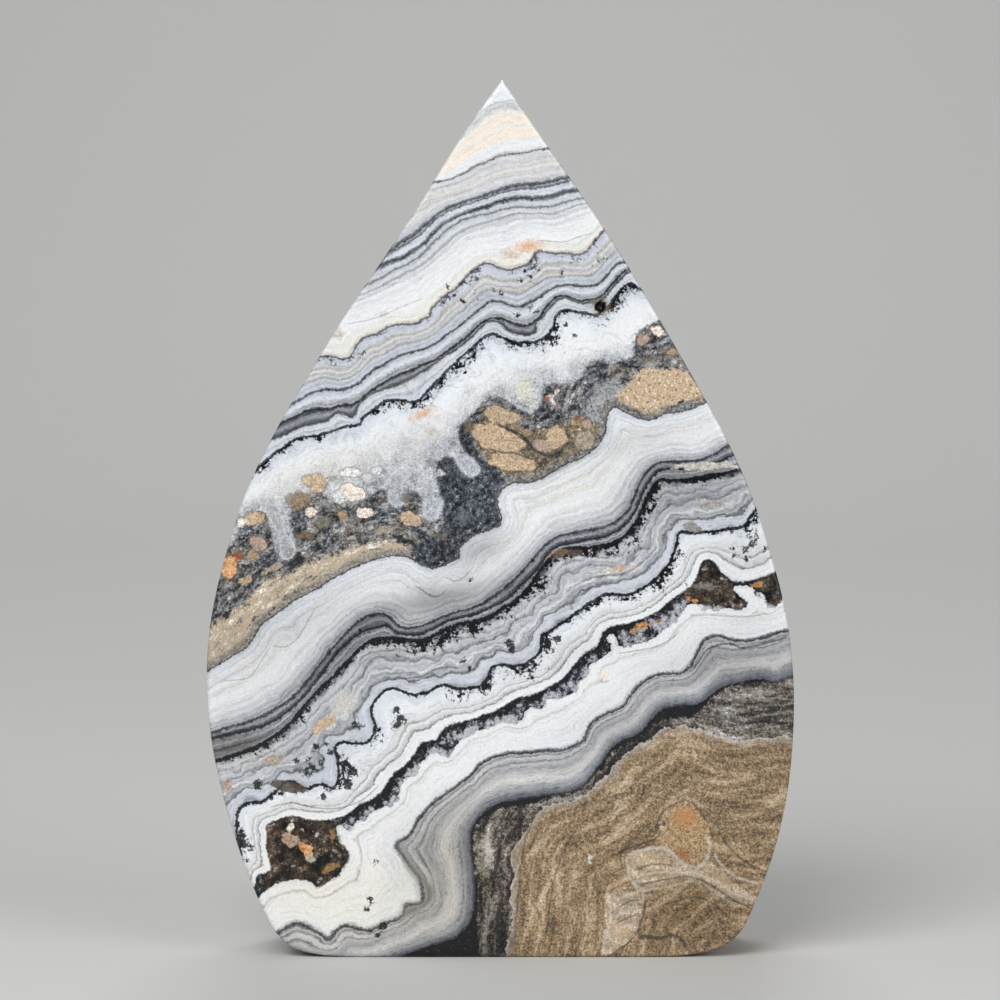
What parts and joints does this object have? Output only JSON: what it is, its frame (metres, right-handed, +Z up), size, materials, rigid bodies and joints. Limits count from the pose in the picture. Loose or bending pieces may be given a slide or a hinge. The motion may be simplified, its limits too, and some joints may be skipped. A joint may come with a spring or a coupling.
{
  "type": "banded agate slab",
  "caption": "Free-standing flame-shaped slab of banded agate with two polished faces, a flat sawn base and grey, white and tan banding.",
  "frame": {"origin": "middle of the flat base", "axes": "+Z up from the base to the tip, +X to the right across the polished show face, the show face looking towards -Y"},
  "size_m": [0.0583, 0.0138, 0.087],
  "materials": {
    "polished_agate": "polished"
  },
  "bodies": {
    "root": {"agate_slab": "polished_agate"}
  },
  "joints": []
}
